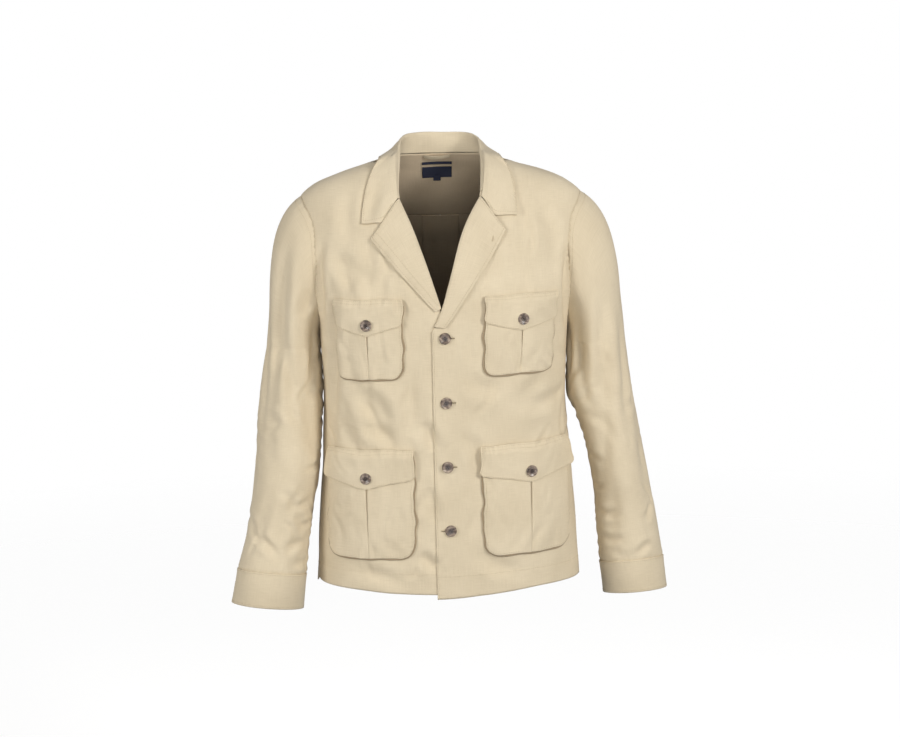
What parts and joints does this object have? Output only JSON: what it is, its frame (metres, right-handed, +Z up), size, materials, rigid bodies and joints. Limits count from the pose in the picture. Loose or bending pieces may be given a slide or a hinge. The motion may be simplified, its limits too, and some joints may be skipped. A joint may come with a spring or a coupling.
{
  "type": "safari jacket",
  "caption": "Linen safari jacket in its worn, hollow shape, with notched lapels, flapped bellows pockets and a buttoned front.",
  "frame": {"origin": "the neck hold: level with the points where the shoulder seams meet the collar, on the centre line, midway between the front and back halves", "axes": "+Z up along the centre line, +X towards the wearer's left, +Y towards the wearer's back; the buttoned front faces -Y"},
  "size_m": [0.6962, 0.2667, 0.7487],
  "materials": {
    "linen": "matte slubby plain weave",
    "horn": "mottled horn, satin",
    "label_navy": "fine woven label cloth"
  },
  "bodies": {
    "root": {"front_left": "linen", "front_right": "linen", "back": "linen", "yoke": "linen", "collar": "linen", "lapel_left": "linen", "lapel_right": "linen", "sleeve_left": "linen", "sleeve_right": "linen", "cuff_left": "linen", "cuff_right": "linen", "chest_pocket_left": "linen", "chest_pocket_right": "linen", "chest_gusset_left": "linen", "chest_gusset_right": "linen", "chest_flap_left": "linen", "chest_flap_right": "linen", "hip_pocket_left": "linen", "hip_pocket_right": "linen", "hip_gusset_left": "linen", "hip_gusset_right": "linen", "hip_flap_left": "linen", "hip_flap_right": "linen", "hanger_loop": "linen", "front_button_1": "horn", "front_button_2": "horn", "front_button_3": "horn", "front_button_4": "horn", "chest_flap_button_left": "horn", "chest_flap_button_right": "horn", "hip_flap_button_left": "horn", "hip_flap_button_right": "horn", "neck_label": "label_navy", "label_strip": "label_navy", "size_tab": "label_navy"}
  },
  "joints": []
}
